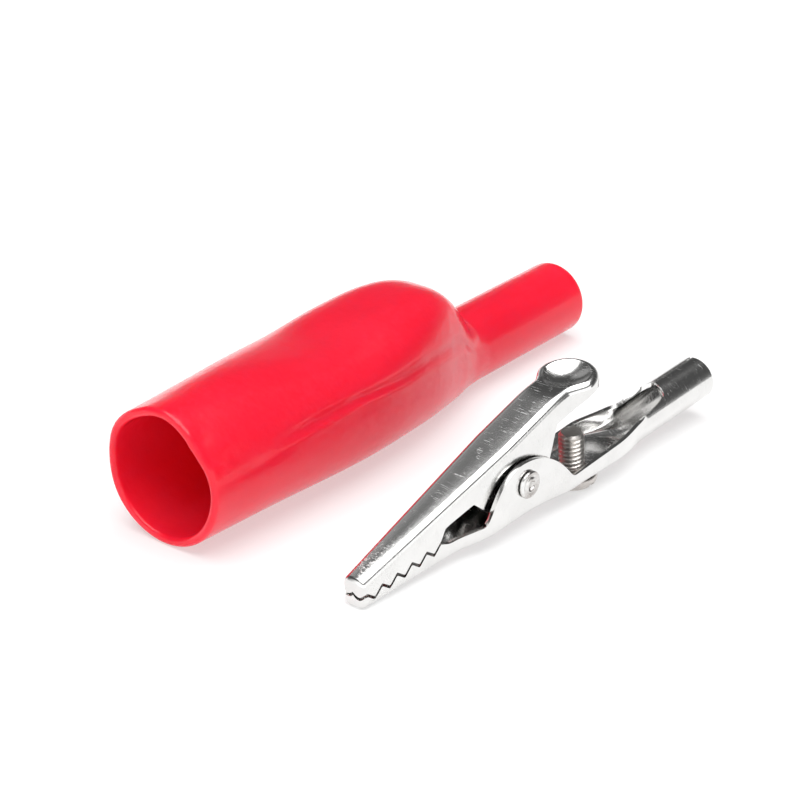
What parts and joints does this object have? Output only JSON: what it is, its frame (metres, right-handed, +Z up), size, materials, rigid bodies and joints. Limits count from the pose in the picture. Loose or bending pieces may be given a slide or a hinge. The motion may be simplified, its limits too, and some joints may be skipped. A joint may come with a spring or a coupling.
{
  "type": "alligator clip",
  "caption": "Sprung alligator test clip with toothed jaws, thumb pad, wire barrel and terminal screw, with its soft insulating boot lying beside it.",
  "frame": {"origin": "centre of the underside of the whole pair, on the table that the clip and the boot rest on", "axes": "+X from the clip's nose towards its wire barrel and along the boot, +Y from the clip towards the boot, +Z up"},
  "size_m": [0.0626, 0.033, 0.0142],
  "materials": {
    "nickel_sheet": "bright nickel plate on pressed steel sheet, finely scratched",
    "nickel_rivet": "bright nickel plate, staked head",
    "spring_steel": "plain drawn spring wire",
    "nickel_screw": "nickel plate, rolled thread",
    "red_vinyl": "glossy dip-moulded soft vinyl"
  },
  "bodies": {
    "clip_base": {"lower_jaw": "nickel_sheet", "pivot_rivet": "nickel_rivet", "torsion_spring": "spring_steel"},
    "jaw_lever": {"upper_jaw": "nickel_sheet"},
    "screw": {"terminal_screw": "nickel_screw"},
    "boot": {"insulating_boot": "red_vinyl"}
  },
  "joints": [
    {"name": "jaw_hinge", "type": "hinge", "parent": "clip_base", "child": "jaw_lever", "pos_m": [-0.00674, -0.01317, 0.00494], "axis": [0, 1, 0], "range_deg": [0, 27], "stiffness_Nm_per_rad": 0.0375, "springref_deg": -74.48, "deforming": ["torsion_spring"]},
    {"name": "terminal_screw_turn", "type": "hinge", "parent": "clip_base", "child": "screw", "pos_m": [0.00378, -0.01317, 0.00065], "axis": [-0.0685, 0, 0.9976], "continuous": true},
    {"name": "boot_pull", "type": "slide", "parent": "clip_base", "child": "boot", "axis": [0.9989, 0.0462, 0], "range_m": [0, 0.055]}
  ]
}
